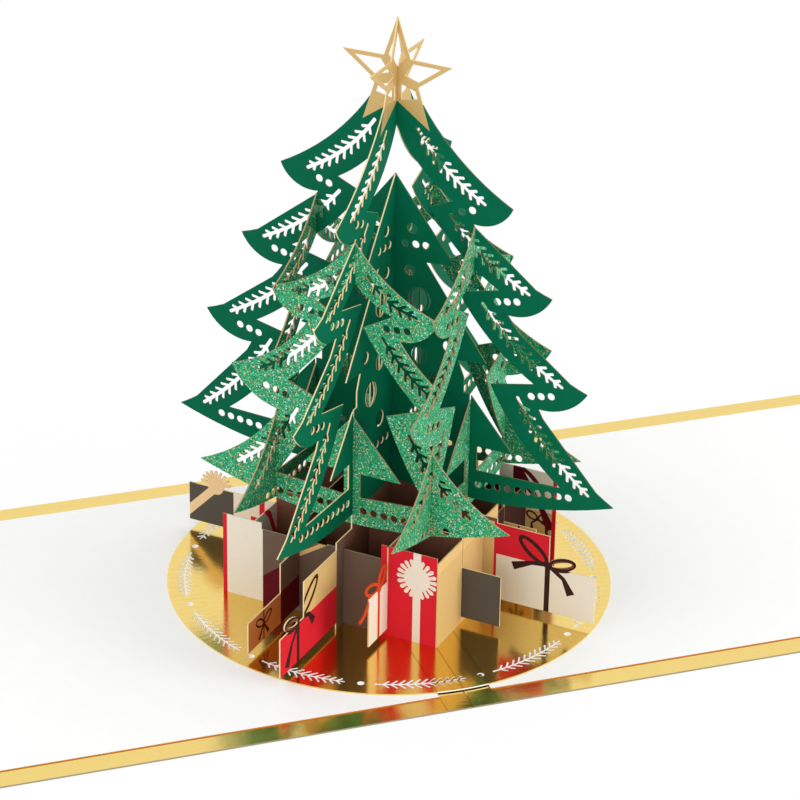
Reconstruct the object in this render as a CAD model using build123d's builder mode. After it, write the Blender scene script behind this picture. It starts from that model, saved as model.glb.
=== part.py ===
from build123d import *
import os
from math import cos, radians, sin
from typing import NamedTuple

os.makedirs("parts", exist_ok=True)

# The card lies open: X across both panels, Y along the fold, Z up
fold_length = 146.0
panel_width = 222.0
cover_thickness = 0.5
liner_thickness = 0.3
gold_border = 7.0
spine_gap = 15.0
score_width = 0.6
score_depth = 0.15

# Gold disc that carries the tree
disc_radius = 64.5
disc_thickness = 0.4

# Upright sheets, slotted together at this angle to the fold
sheet_angle = 45.0
sheet_thickness = 0.4
slot_clearance = 0.1
glitter_offset = 24.4
trunk_offset = 14.0
wall_offset = 29.6
tab_width = 7.0
tab_place = 21.8
flag_lift = 2.0

# Star on top of the main tree
star_height = 155.7
star_radius = 17.3
star_waist = 6.8
star_window_share = 0.66

# Main tree, right half: distance from the axis, and height above the disc as drawn for this rise to the star
tree_rise = 123.1
crown_width = 7.0
crown_drop = 5.3
crown_depth = 8.2
tree_shoulder = (crown_width, star_height - crown_drop)
tree_tips = [(35.6, 123.8), (48.1, 99.7), (59.7, 73.3), (68.9, 40.3)]
tree_notches = [(23.8, 117.2), (35.0, 92.2), (45.2, 65.6)]
tree_foot = (24.6, 32.6)
tree_window_top = (0.0, tree_shoulder[1] - crown_depth)
tree_window_corners = [(17.8, 122.8), (32.3, 99.0), (43.7, 72.9), (52.8, 42.6)]
tree_window_inlets = [(10.5, 119.6), (20.0, 96.0), (30.5, 70.0)]
tree_sill = 40.8

# Small tree that stands inside the main tree's window, and its low branch
core_apex = (0.0, 127.5)
core_tips = [(18.6, 103.3), (29.0, 75.8)]
core_notches = [(9.8, 102.6), (20.3, 75.0)]
core_side = 22.3
core_side_height = 70.0
branch_apex = 65.3
branch_reach = 13.4
branch_height = 49.5
stem_reach = 2.5

# Glitter tree, right half, and the sapling on its sill
glitter_apex = (0.0, 116.5)
glitter_tips = [(25.4, 97.9), (38.2, 71.3), (48.6, 38.4)]
glitter_notches = [(14.0, 89.8), (23.0, 60.2)]
glitter_bottom = 29.7
glitter_window_top = (0.0, 104.5)
glitter_window_corners = [(11.8, 96.6), (20.5, 70.0), (24.0, 40.0)]
glitter_window_inlets = [(2.9, 91.5), (10.3, 66.0)]
glitter_sill = 38.3
sapling_apex = 63.5
sapling_tip = (15.0, 46.0)

# How far the cut edges bow away from straight lines
arm_hollow = 2.6
hem_round = 2.4
foot_round = 2.0
window_hollow = 2.0
glitter_window_hollow = 0.9
trunk_lap = 0.7

# Twigs cut through the main tree's branches
twig_reach = 3.0
twig_stem = 0.8
twig_spread = 50.0
twig_top_start = 0.2
twig_start = 0.06
twig_pairs = 5

# Trunk, on the main sheets and on the four strips around them
trunk_reach = 34.0
trunk_height = 28.0
strip_collar_reach = 20.0
strip_collar_height = 31.0

# Gifts cut along the sheets' ends: near end, far end and height above the disc
gift_right = [(trunk_reach, 50.3, 26.5), (50.3, 64.8, 16.7)]
gift_left = [(trunk_reach, 66.4, 14.5)]
gift_front = [(trunk_reach, 53.5, 25.5), (53.5, 67.4, 14.2)]
gift_back = [(trunk_reach, 46.0, 26.0), (46.0, 62.0, 18.0)]
flag_grey = [(wall_offset, wall_offset + 12.2, 18.0)]
flag_white = [(wall_offset, wall_offset + 11.8, 17.5)]
flag_kraft = [(wall_offset, wall_offset + 11.4, 21.0), (wall_offset + 11.4, wall_offset + 30.4, 11.6)]
flag_string = [(wall_offset, wall_offset + 10.4, 19.0)]
flag_plain = [(wall_offset, wall_offset + 8.4, 17.0)]
rosette_place = (-57.5, 15.0)
rosette_radius = 5.3
loop_length = 9.0
loop_width = 4.2
loop_band = 1.3
loop_tilt = 18.0
loop_right = (54.4, 18.2)
loop_front = (60.5, 15.6)

# Walls of gifts around the trunk: left end, right end and height
wall_end = wall_offset + sheet_thickness / 2
wall_butt = wall_offset - sheet_thickness / 2 - slot_clearance
wall_front_left = [
    (-38.5, -26.0, 25.5),
    (-26.0, -5.0, 23.5),
    (-5.0, 12.0, 24.0),
    (12.0, wall_butt, 28.5),
]
wall_front_right = [(-wall_butt, -9.5, 24.0), (-9.5, wall_end, 27.0)]
wall_back_right = [
    (-wall_butt, -12.0, 28.5),
    (-12.0, 5.0, 24.0),
    (5.0, 21.0, 23.5),
    (21.0, 39.4, 29.0),
]
wall_back_left = [(-wall_end, 9.5, 27.0), (9.5, wall_butt, 24.0)]

base_top = cover_thickness + liner_thickness + disc_thickness
slot_width = sheet_thickness + slot_clearance
along_right = Vector(cos(radians(sheet_angle)), -sin(radians(sheet_angle)))
along_front = Vector(-sin(radians(sheet_angle)), -cos(radians(sheet_angle)))


class Sheet(NamedTuple):
    """Upright sheet: where it stands, its outline and the cut-outs inside it."""

    name: str
    run: str
    offset: float
    outline: Sketch
    cut_outs: Sketch = None
    tabbed: bool = False


def middle(first, second):
    """Point halfway between two points."""
    return ((first[0] + second[0]) / 2, (first[1] + second[1]) / 2)


def lifted(*points):
    """Points of the main tree, at heights that share out the room between its foot and its star."""
    stretch = (star_height - tree_foot[1]) / tree_rise
    return [(out, tree_foot[1] + (height - tree_foot[1]) * stretch) for out, height in points]


def edge(start, end, bow):
    """Cut edge that bows to one side, or runs straight."""
    return SagittaArc(start, end, bow) if bow else Line(start, end)


def scallops(start, tips, notches, hollow=0, hem=0):
    """Edge that swings out to each tip and back to each notch."""
    last = start
    for tip, notch in zip(tips, [*notches, None]):
        edge(last, tip, -hollow)
        if notch:
            edge(tip, notch, hem)
        last = notch


def main_tree():
    """Outer band of the main tree, open inside, with the small tree that stands in it."""
    stem = glitter_offset + stem_reach
    branch_tip = (glitter_offset + branch_reach, branch_height)
    tips = lifted(*tree_tips)
    corners = lifted(*tree_window_corners)
    apex, side, sill = lifted(core_apex, (core_side, core_side_height), (0, tree_sill))
    with BuildSketch() as tree:
        with BuildLine():
            scallops(tree_shoulder, tips, lifted(*tree_notches), arm_hollow, hem_round)
            SagittaArc(tips[-1], tree_foot, foot_round)
            Polyline(tree_foot, (0, tree_foot[1]), (0, star_height - star_waist), tree_shoulder)
        make_face()
        with BuildLine():
            scallops(tree_window_top, corners, lifted(*tree_window_inlets), window_hollow)
            Polyline(corners[-1], sill, tree_window_top)
        make_face(mode=Mode.SUBTRACT)
        with BuildLine():
            scallops(apex, [*lifted(*core_tips), side], lifted(*core_notches))
            Polyline(side, (core_side, tree_foot[1]), (0, tree_foot[1]), apex)
        make_face()
        with BuildLine():
            Polyline(
                (glitter_offset, branch_apex),
                branch_tip,
                (stem, branch_height),
                (stem, tree_foot[1]),
                (0, tree_foot[1]),
                (0, branch_apex),
                close=True,
            )
        make_face()
        mirror(about=Plane.YZ)
    return tree.sketch


def star():
    """Five-pointed star, open inside each point."""
    points = []
    for index in range(10):
        reach = star_waist if index % 2 else star_radius
        turn = radians(90 - 36 * index)
        points.append((reach * cos(turn), star_height + reach * sin(turn)))
    with BuildSketch() as outline:
        with BuildLine():
            Polyline(*points, close=True)
        make_face()
        for index in range(0, 10, 2):
            kite = [points[index], points[index - 9], (0, star_height), points[index - 1]]
            centre = middle(middle(kite[0], kite[2]), middle(kite[1], kite[3]))
            with BuildLine():
                Polyline(*[towards(centre, corner, star_window_share) for corner in kite], close=True)
            make_face(mode=Mode.SUBTRACT)
    return outline.sketch


def towards(start, end, share):
    """Point part of the way from one point to another."""
    return (start[0] + (end[0] - start[0]) * share, start[1] + (end[1] - start[1]) * share)


def twig(path, first):
    """Cut-out like a fir twig: pairs of needles along a path, pointing to its far end."""
    left = []
    right = []
    for needle in range(twig_pairs):
        place = first + (1 - first) * needle / twig_pairs
        heading = path % place
        for edge, sign in ((left, 1), (right, -1)):
            edge.append(path @ place + heading.rotate(Axis.Z, 90 * sign) * twig_stem / 2)
            edge.append(path @ place + heading.rotate(Axis.Z, twig_spread * sign) * twig_reach)
    with BuildSketch() as outline:
        with BuildLine():
            Polyline(*left, path @ 1, *reversed(right), close=True)
        make_face()
    return outline.sketch


def twigs():
    """Twigs along the middle of each arm of the main tree, on both sides of its axis."""
    outer = [tree_shoulder, *lifted(*tree_notches)]
    inner = [tree_window_top, *lifted(*tree_window_inlets)]
    ends = zip(lifted(*tree_tips), lifted(*tree_window_corners))
    shapes = []
    for tier, (tip, corner) in enumerate(ends):
        near = middle(outer[tier], inner[tier])
        far = middle(tip, corner)
        for side in (1, -1):
            line = [(side * near[0], near[1]), (side * far[0], far[1])]
            arm = SagittaArc(*line, -side * window_hollow, mode=Mode.PRIVATE)
            shapes.append(twig(arm, twig_start if tier else twig_top_start))
    return shapes


def glitter_outline(side):
    """Glitter tree whose middle arm stops, on one side, at the sheet that crosses it."""
    butt = glitter_offset - sheet_thickness / 2 - slot_clearance
    low = glitter_notches[1][1] - trunk_lap
    with BuildSketch() as outline:
        add(glitter_tree.sketch)
        with Locations((side * butt, low)):
            Rectangle(
                glitter_tips[-1][0],
                glitter_notches[0][1] - low,
                align=(Align.MIN if side > 0 else Align.MAX, Align.MIN),
                mode=Mode.SUBTRACT,
            )
    return outline.sketch


def gifts(blocks, side):
    """Row of boxes of different heights, held clear of the disc."""
    for near, far, height in blocks:
        with Locations((side * (near + far) / 2, flag_lift)):
            Rectangle(far - near, height - flag_lift, align=(Align.CENTER, Align.MIN))


def ribbon_loop(place):
    """Open loop of a bow that stands clear of a gift's top."""
    with Locations(place):
        Ellipse(loop_length / 2, loop_width / 2, loop_tilt)
        Ellipse(loop_length / 2 - loop_band, loop_width / 2 - loop_band, loop_tilt, mode=Mode.SUBTRACT)


def tabs():
    """Two tabs that go down through the disc."""
    with GridLocations(2 * tab_place, 0, 2, 1):
        Rectangle(tab_width, disc_thickness, align=(Align.CENTER, Align.MAX))


def trunk():
    """Trunk of a main sheet, up into the tree's bottom bar."""
    Rectangle(2 * trunk_reach, trunk_height, align=(Align.CENTER, Align.MIN))
    Rectangle(2 * tree_foot[0], tree_foot[1] + trunk_lap, align=(Align.CENTER, Align.MIN))


def strip_outline(front, back):
    """Trunk strip with a gift at each end."""
    with BuildSketch() as outline:
        Rectangle(2 * wall_offset, trunk_height, align=(Align.CENTER, Align.MIN))
        Rectangle(2 * strip_collar_reach, strip_collar_height, align=(Align.CENTER, Align.MIN))
        gifts(front, 1)
        gifts(back, -1)
    return outline.sketch


def wall_outline(blocks):
    """Wall of gifts that stands on the disc."""
    with BuildSketch() as outline:
        for left, right, height in blocks:
            with Locations(((left + right) / 2, 0)):
                Rectangle(right - left, height, align=(Align.CENTER, Align.MIN))
        tabs()
    return outline.sketch


def sheet_plane(run, offset):
    """Plane of an upright sheet: its X runs along the sheet and its Y rises from the disc."""
    foot = Vector(0, 0, base_top)
    if run == "right":
        return Plane(along_front * offset + foot, x_dir=along_right, z_dir=along_front)
    return Plane(along_right * offset + foot, x_dir=along_front, z_dir=-along_right)


def spans(outline, place):
    """Stretches of paper, bottom and top, that a slot at this place meets."""
    column = Pos(place, 0) * Rectangle(slot_width, 4 * star_height)
    met = outline.intersect(column)
    boxes = [piece.bounding_box() for piece in met.faces()] if met else []
    return [(box.min.Y, box.max.Y) for box in boxes]


# Outlines of the main sheets and of the glitter trees
with BuildSketch() as left_right:
    add(main_tree())
    add(star())
    trunk()
    gifts(gift_right, 1)
    gifts(gift_left, -1)
    ribbon_loop(loop_right)
    with Locations(rosette_place):
        Circle(rosette_radius)
    tabs()

with BuildSketch() as front_back:
    add(main_tree())
    add(star())
    trunk()
    gifts(gift_front, 1)
    gifts(gift_back, -1)
    ribbon_loop(loop_front)
    tabs()

with BuildSketch() as glitter_tree:
    with BuildLine():
        scallops(glitter_apex, glitter_tips, glitter_notches, arm_hollow, hem_round)
        SagittaArc(glitter_tips[-1], (0, glitter_bottom), foot_round)
        Line((0, glitter_bottom), glitter_apex)
    make_face()
    with BuildLine():
        scallops(
            glitter_window_top,
            glitter_window_corners,
            glitter_window_inlets,
            glitter_window_hollow,
        )
        Polyline(glitter_window_corners[-1], (0, glitter_sill), glitter_window_top)
    make_face(mode=Mode.SUBTRACT)
    with BuildLine():
        Polyline(
            (0, sapling_apex),
            sapling_tip,
            (stem_reach, sapling_tip[1]),
            (stem_reach, glitter_bottom + trunk_lap),
            (0, glitter_bottom + trunk_lap),
            close=True,
        )
    make_face()
    mirror(about=Plane.YZ)

with BuildSketch() as main_cuts:
    add(twigs())

# Sheets in the order in which they go together, each pushed down onto those before it
sheets = [
    Sheet("gift_wall_back_left", "front", -wall_offset, wall_outline(wall_back_left), tabbed=True),
    Sheet("gift_wall_front_right", "front", wall_offset, wall_outline(wall_front_right), tabbed=True),
    Sheet("gift_wall_back_right", "right", -wall_offset, wall_outline(wall_back_right), tabbed=True),
    Sheet("gift_wall_front_left", "right", wall_offset, wall_outline(wall_front_left), tabbed=True),
    Sheet("trunk_strip_back_left", "front", -trunk_offset, strip_outline(flag_kraft, flag_plain)),
    Sheet("trunk_strip_front_right", "front", trunk_offset, strip_outline(flag_white, flag_plain)),
    Sheet("trunk_strip_back_right", "right", -trunk_offset, strip_outline(flag_string, flag_plain)),
    Sheet("trunk_strip_front_left", "right", trunk_offset, strip_outline(flag_grey, flag_plain)),
    Sheet("tree_sheet_front_back", "front", 0, front_back.sketch, main_cuts.sketch, tabbed=True),
    Sheet("tree_sheet_left_right", "right", 0, left_right.sketch, main_cuts.sketch, tabbed=True),
    Sheet("glitter_tree_front_right", "front", glitter_offset, glitter_outline(-1)),
    Sheet("glitter_tree_back_left", "front", -glitter_offset, glitter_outline(1)),
    Sheet("glitter_tree_front_left", "right", glitter_offset, glitter_outline(1)),
    Sheet("glitter_tree_back_right", "right", -glitter_offset, glitter_outline(-1)),
]

# Half-lap slots: the earlier sheet is open at the top, the later one at the bottom
slots = {sheet.name: [] for sheet in sheets}
for index, early in enumerate(sheets):
    for late in sheets[index + 1:]:
        if early.run == late.run:
            continue
        for low, high in spans(early.outline, late.offset):
            for bottom, top in spans(late.outline, early.offset):
                if min(high, top) > max(low, bottom):
                    meet = (max(low, bottom) + min(high, top)) / 2
                    slots[early.name].append((late.offset, meet, high))
                    slots[late.name].append((early.offset, bottom, meet))

for sheet in sheets:
    with BuildPart() as paper:
        with BuildSketch(sheet_plane(sheet.run, sheet.offset)):
            add(sheet.outline)
            if sheet.cut_outs:
                add(sheet.cut_outs, mode=Mode.SUBTRACT)
            for place, bottom, top in slots[sheet.name]:
                with Locations((place, bottom)):
                    Rectangle(slot_width, top - bottom, align=(Align.CENTER, Align.MIN), mode=Mode.SUBTRACT)
        extrude(amount=sheet_thickness / 2, both=True)
    paper.part.label = sheet.name
    export_step(paper.part, f"parts/{sheet.name}.step")

# Cover: one gold-faced sheet, scored along the fold
with BuildPart() as cover:
    Box(2 * panel_width, fold_length, cover_thickness, align=(Align.CENTER, Align.CENTER, Align.MIN))
    with Locations((0, 0, cover_thickness)):
        Box(
            score_width,
            fold_length,
            score_depth,
            align=(Align.CENTER, Align.CENTER, Align.MAX),
            mode=Mode.SUBTRACT,
        )
cover.part.label = "cover"
export_step(cover.part, "parts/cover.step")

# Liners: white leaves set back from the fold and from the card's edges
for name, side in (("left_liner", -1), ("right_liner", 1)):
    with BuildPart() as liner:
        with Locations((side * (panel_width - gold_border + spine_gap / 2) / 2, 0, cover_thickness)):
            Box(
                panel_width - gold_border - spine_gap / 2,
                fold_length - 2 * gold_border,
                liner_thickness,
                align=(Align.CENTER, Align.CENTER, Align.MIN),
            )
    liner.part.label = name
    export_step(liner.part, f"parts/{name}.step")

# Disc: slits for the sheets' tabs
with BuildPart() as base_disc:
    with BuildSketch(Plane.XY.offset(cover_thickness + liner_thickness)):
        Circle(disc_radius)
        for sheet in sheets:
            if sheet.tabbed:
                plane = sheet_plane(sheet.run, sheet.offset)
                feet = [plane.from_local_coords((side * tab_place, 0)) for side in (1, -1)]
                with Locations(*[(foot.X, foot.Y) for foot in feet]):
                    Rectangle(
                        tab_width + slot_clearance,
                        slot_width,
                        -sheet_angle if sheet.run == "right" else sheet_angle,
                        mode=Mode.SUBTRACT,
                    )
    extrude(amount=disc_thickness)
base_disc.part.label = "base_disc"
export_step(base_disc.part, "parts/base_disc.step")
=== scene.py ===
"""Looks of a pop up card: die-cut paper trees, glitter, gold foil and printed gifts over its solids."""

import math

import bmesh
import bpy
from bpy.props import FloatProperty, FloatVectorProperty, IntProperty, PointerProperty
from mathutils import Matrix, Vector


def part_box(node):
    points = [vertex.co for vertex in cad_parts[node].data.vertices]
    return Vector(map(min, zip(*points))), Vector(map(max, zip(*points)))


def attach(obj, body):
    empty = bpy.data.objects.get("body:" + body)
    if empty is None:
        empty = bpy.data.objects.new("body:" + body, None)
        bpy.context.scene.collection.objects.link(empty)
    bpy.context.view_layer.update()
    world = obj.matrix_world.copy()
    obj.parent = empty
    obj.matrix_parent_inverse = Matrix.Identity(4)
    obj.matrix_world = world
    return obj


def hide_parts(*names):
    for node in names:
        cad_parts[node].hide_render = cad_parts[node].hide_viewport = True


bl_info = {
    "name": "Pop up card",
    "version": (1, 0, 0),
    "blender": (4, 5, 0),
    "location": "3D View > Sidebar > Card",
    "description": "Dresses the solids of a pop up card as die-cut paper, glitter and foil",
    "category": "Object",
}

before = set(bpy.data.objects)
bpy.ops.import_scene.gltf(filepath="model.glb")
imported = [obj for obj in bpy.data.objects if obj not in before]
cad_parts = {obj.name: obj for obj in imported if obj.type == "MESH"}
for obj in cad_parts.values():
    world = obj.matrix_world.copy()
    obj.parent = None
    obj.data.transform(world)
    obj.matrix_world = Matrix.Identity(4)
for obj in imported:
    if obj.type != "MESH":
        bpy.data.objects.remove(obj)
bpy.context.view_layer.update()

MM = 0.001
NEAR = MM / 50
MERGE = MM / 1000
UP = Vector((0, 0, 1))
RIGHT = Vector((1, -1, 0)).normalized()
FRONT = Vector((-1, -1, 0)).normalized()
DISC_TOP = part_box("base_disc")[1].z
DISC_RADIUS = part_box("base_disc")[1].x
SPINE_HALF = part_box("right_liner")[0].x
CORNERS = ("front_left", "front_right", "back_left", "back_right")
BLACK = (0.0, 0.0, 0.0, 1.0)
WHITE = (1.0, 1.0, 1.0, 1.0)
# Faces of a sheet whose normal has less than this share along its facing are cut edges
EDGE_FACING = 0.5

# Twigs of the main tree's right half, from the axis out to each tip, in millimetres
TREE_TWIGS = (
    ((6.6, 141.9), (24.8, 125.0)),
    ((17.2, 118.6), (38.7, 101.0)),
    ((27.4, 94.0), (49.6, 75.2)),
    ((38.9, 67.6), (59.0, 44.0)),
)
# Rows of dots: first and last place, and how many
TREE_DOTS = (
    ((23.5, 121.1), (20.5, 120.2), 2),
    ((37.6, 96.7), (31.8, 95.5), 3),
    ((48.9, 70.3), (42.9, 69.0), 3),
    ((27.6, 37.4), (55.3, 40.1), 10),
    ((9.7, 107.6), (3.5, 107.2), 3),
    ((3.5, 47.8), (18.5, 48.2), 6),
)
# Round holes and ribbed baubles of the inner tree: place and radius
TREE_BALLS = (
    ((5.5, 112.0), 1.6),
    ((5.0, 99.3), 1.7),
    ((17.3, 78.4), 1.8),
    ((8.1, 55.5), 2.5),
)
TREE_BAUBLES = (
    ((8.1, 91.0), 3.8),
    ((8.3, 73.6), 2.8),
    ((13.8, 65.6), 3.8),
)
BAUBLE_SLITS = 4
BAUBLE_RIB = 0.55
BAUBLE_POLE = 0.06
BAUBLE_STEPS = 8

# Twigs and dots of a glitter tree's right half
GLITTER_TWIGS = (
    ((4.2, 107.0), (16.2, 98.6)),
    ((8.8, 89.6), (27.0, 73.0)),
    ((17.4, 61.6), (34.2, 42.2)),
)
GLITTER_DOTS = (
    ((16.2, 93.2), (10.0, 92.6), 3),
    ((27.2, 66.7), (21.0, 65.3), 3),
    ((3.6, 34.4), (22.8, 34.4), 7),
    ((26.0, 34.4), (29.2, 34.6), 2),
)

# Plainer twigs of the solids reach this far from the finer ones' paths, which take their place
PLAIN_TWIG_REACH = 3.7
GLITTER_OFFSET = 24.4
SLOT_REACH = 0.4

# Twigs bow by the sagitta, their needles shorten to both ends, and the first pair is shorter still
ARC_STEPS = 12
TWIG_SAGITTA = -1.5
NEEDLE_TAPER = 0.36
FIRST_NEEDLES = 0.04
FIRST_TAPER = 0.5
CUTTER_SIZES = ("needle_length", "needle_width", "needle_pitch", "stem_width", "dot_radius")
CUTTER_DEPTH = 4
NEEDLE_SIDES = 10
DOT_SIDES = 14

# Ring of twigs and dots in the disc
RING_REPEATS = 11
RING_PHASE = math.radians(244.0)
RING_INSET = 4.9
RING_FOLDS = 154
RING_TWIG_START = 0.12
RING_TWIG_END = 0.8

# Star: the gold reaches down the two lower legs
STAR_WAIST = (0.0, 148.9)
STAR_LEG = (10.2, 141.7)
STAR_SHOULDER = (6.5, 153.6)
TREE_FOOT = 32.6

# Round bow on the dark gift, over a half turn in degrees: a petal's points are shares of its turn and radius
ROSETTE = (-57.5, 15.0)
ROSETTE_RADIUS = 5.3
ROSETTE_PETALS = 9
ROSETTE_START = 4.0
ROSETTE_SWEEP = 172.0
PETAL_ROOT = 0.5
PETAL_POINTS = (
    (0.1, PETAL_ROOT),
    (0.17, 0.84),
    (0.3, 0.97),
    (0.5, 1.0),
    (0.7, 0.97),
    (0.83, 0.84),
    (0.9, PETAL_ROOT),
)

# Printed rosette: its petals' sides and roots as shares of the radius, and the gaps between them
ROSE_SIDE = 0.84
ROSE_ROOT = 0.64
ROSE_GAP = 0.45

# Open bow on the white gift: each loop's far end and width, and the turns in degrees that it shows
BOW_STRIP = "trunk_strip_front_right"
FLAG_CORNER = (41.4, 17.5)
BOW_KNOT = (35.0, 17.9)
BOW_FRONT_LOOP = ((43.4, 20.8), 4.2, -75, 130)
BOW_WALL_LOOP = ((30.8, 23.6), 4.0, -130, 155)
BOW_BAND = 0.95
BOW_TAIL = (
    (41.4, 15.2),
    (42.2, 14.2),
    (43.2, 13.2),
    (44.9, 12.4),
    (46.7, 12.1),
    (47.2, 13.0),
    (45.4, 13.4),
    (43.8, 14.2),
    (42.6, 15.4),
    (41.4, 16.6),
)

# Where the small gifts start along a trunk strip, and where they come clear of the gift walls
FLAG_START = 29.0
FLAG_CLEAR = 29.9

# Share of bare paper that shows at the gift walls' cut edges, between their dark inks, and of shade in prints
WALL_BARE_EDGE = 0.35
PAPER_MOTTLE = 0.16

# Glitter flakes: sides, tilt, least size, height and colours, as they are seen
FLAKE_SIDES = 4
FLAKE_TILT = 0.6
FLAKE_LEAST = 0.55
FLAKE_HEIGHT = 0.5
FLAKE_TINTS = (
    (0.0, (0.02, 0.50, 0.31)),
    (0.6, (0.06, 0.70, 0.45)),
    (0.8, (0.30, 0.82, 0.64)),
    (0.9, (0.88, 0.72, 0.42)),
    (1.0, (0.92, 0.95, 0.90)),
)

# Grains to a millimetre under the flakes, and the rarer ones: which chance picks them, its start and colour
GRAIN_DENSITY = 3.2
RARE_GRAINS = (
    (1, 0.93, (0.86, 0.74, 0.46)),
    (2, 0.95, (0.75, 0.95, 0.9)),
)

# Scored lines in the foil: their half widths, and the colour of the painted shade in their creases
SCORE_HALF = 0.25
SCORE_SIDE_HALF = 0.2
SCORE_SHADE = (0.35, 0.2, 0.04, 1.0)

# Camera of the photograph
CAMERA_PLACE = Vector((-271.65, -791.03, 486.05)) * MM
CAMERA_AZIMUTH = math.radians(-19.11)
CAMERA_ELEVATION = math.radians(27.06)
CAMERA_ROLL = math.radians(0.99)
CAMERA_LENS = 149.12
CAMERA_CLIP = (0.05, 20.0)
SENSOR = 36.0

# Lamps: name, place, width and power
LAMPS = (
    ("key_lamp", (1.5, -1.2, 0.4), 0.8, 14.0),
    ("fill_lamp", (-1.2, -1.4, 0.45), 1.2, 6.0),
    ("top_lamp", (-0.9, 0.2, 1.6), 0.8, 2.2),
)
LAMP_TARGET = (0.0, 0.0, 0.08)
SKY_LIGHT = 0.95
FLOOR_REACH = 4.0
FLOOR_GREY = (0.92, 0.92, 0.92, 1.0)
FLOOR_GLOW = 0.9


class CardColours(bpy.types.PropertyGroup):
    """Colours of the card's papers and inks, as they are seen."""

    def ink(name, value, text):
        """One colour of the card."""
        red, green, blue = value
        return FloatVectorProperty(
            name=name,
            description=text,
            subtype="COLOR_GAMMA",
            default=(red / 255, green / 255, blue / 255),
            min=0,
            max=1,
        )

    foil: ink("Foil", (245, 217, 130), "Gold foil of the cover and the disc")
    star: ink("Star", (217, 184, 121), "Gold print of the star")
    white: ink("White", (250, 250, 249), "White liners")
    cream: ink("Cream", (241, 231, 216), "White gift boxes and ribbons")
    green: ink("Green", (0, 108, 76), "Main tree")
    glitter: ink("Glitter", (6, 142, 94), "Paper under the glitter")
    trunk: ink("Trunk", (126, 82, 64), "Trunk of the tree")
    brown: ink("Brown", (62, 34, 30), "Dark ribbons and bows")
    red: ink("Red", (220, 36, 52), "Red gift boxes")
    burgundy: ink("Burgundy", (96, 18, 32), "Shaded gift boxes and ribbons")
    kraft: ink("Kraft", (224, 186, 124), "Kraft gift boxes")
    # Partly painted light: the small gift is kraft, drawn more orange for the light that the gold foil casts
    # on it
    tan: ink("Tan", (214, 140, 76), "Small kraft gift box")
    grey: ink("Grey", (88, 82, 76), "Dark gift boxes")
    taupe: ink("Taupe", (110, 90, 77), "Warm grey gift boxes")
    orange: ink("Orange", (214, 72, 34), "Narrow ribbon")
    peach: ink("Peach", (243, 208, 160), "Wide ribbon on the dark gift")
    edge: ink("Cut edge", (232, 208, 160), "Edge of the paper where it was cut")
    # Painted shade: the cover's cut edge is drawn grey-brown, for the edge in shade with its contact shadow
    cover_edge: ink("Cover edge", (150, 136, 108), "Cut edge of the cover")
    # Painted reflection and shade: the white liners' cut edges are drawn amber, for the edge mirrored in the
    # gold foil beside it, in shade
    liner_edge: ink("Liner edge", (186, 122, 44), "Cut edge of the white liners, against the foil")
    glitter_edge: ink("Glitter edge", (184, 152, 108), "Cut edge of the glitter trees")
    # Painted shade: the cut edges of the sheet that faces the front are drawn darker and greener than the
    # other sheet's, for the shade on them
    shaded_edge: ink("Shaded edge", (92, 104, 66), "Cut edge of the sheet that faces the front")


class CardSizes(bpy.types.PropertyGroup):
    """Sizes of the card's cut-outs and glitter."""

    def length(name, value, text):
        """One length of the card."""
        return FloatProperty(
            name=name,
            description=text,
            default=value * MM,
            min=0,
            unit="LENGTH",
            precision=5,
        )

    needle_length: length("Needle length", 3.8, "From a twig's stem to a needle's end")
    needle_width: length("Needle width", 1.05, "Across a needle")
    needle_pitch: length("Needle pitch", 2.7, "Between pairs of needles")
    stem_width: length("Stem width", 1.15, "Across a twig's stem")
    dot_radius: length("Dot radius", 1.15, "Of a round cut-out")
    ring_needle_length: length("Ring needle length", 3.4, "From a stem to a needle's end in the disc")
    ring_needle_width: length("Ring needle width", 0.55, "Across a needle in the disc")
    ring_needle_pitch: length("Ring needle pitch", 2.1, "Between pairs of needles in the disc")
    ring_stem_width: length("Ring stem width", 0.55, "Across a twig's stem in the disc")
    ring_dot_radius: length("Ring dot radius", 1.0, "Of a round cut-out in the disc")
    flake_size: length("Flake size", 0.21, "Radius of a glitter flake")
    needle_spread: FloatProperty(
        name="Needle spread",
        description="Between a needle and its stem",
        default=math.radians(46),
        subtype="ANGLE",
    )
    flake_density: FloatProperty(
        name="Flake density",
        description="Glitter flakes on each square metre",
        default=2.8e6,
        min=0,
    )
    flake_seed: IntProperty(
        name="Flake seed",
        description="Of the places of the glitter flakes",
        default=7,
    )


def infix(operation, swapped=False):
    """Operator of a wire that adds a math node."""

    def apply(wire, *others):
        values = (*others, wire) if swapped else (wire, *others)
        return wire.net.math(operation, *values)

    return apply


class Wire:
    """Output of a node that Python's operators can be used on."""

    def __init__(self, net, socket):
        self.net = net
        self.socket = socket

    __add__ = infix("ADD")
    __radd__ = infix("ADD", True)
    __sub__ = infix("SUBTRACT")
    __rsub__ = infix("SUBTRACT", True)
    __mul__ = infix("MULTIPLY")
    __rmul__ = infix("MULTIPLY", True)
    __truediv__ = infix("DIVIDE")
    __pow__ = infix("POWER")
    __abs__ = infix("ABSOLUTE")
    __lt__ = infix("LESS_THAN")
    __gt__ = infix("GREATER_THAN")
    __and__ = infix("MINIMUM")
    __or__ = infix("MAXIMUM")


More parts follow.
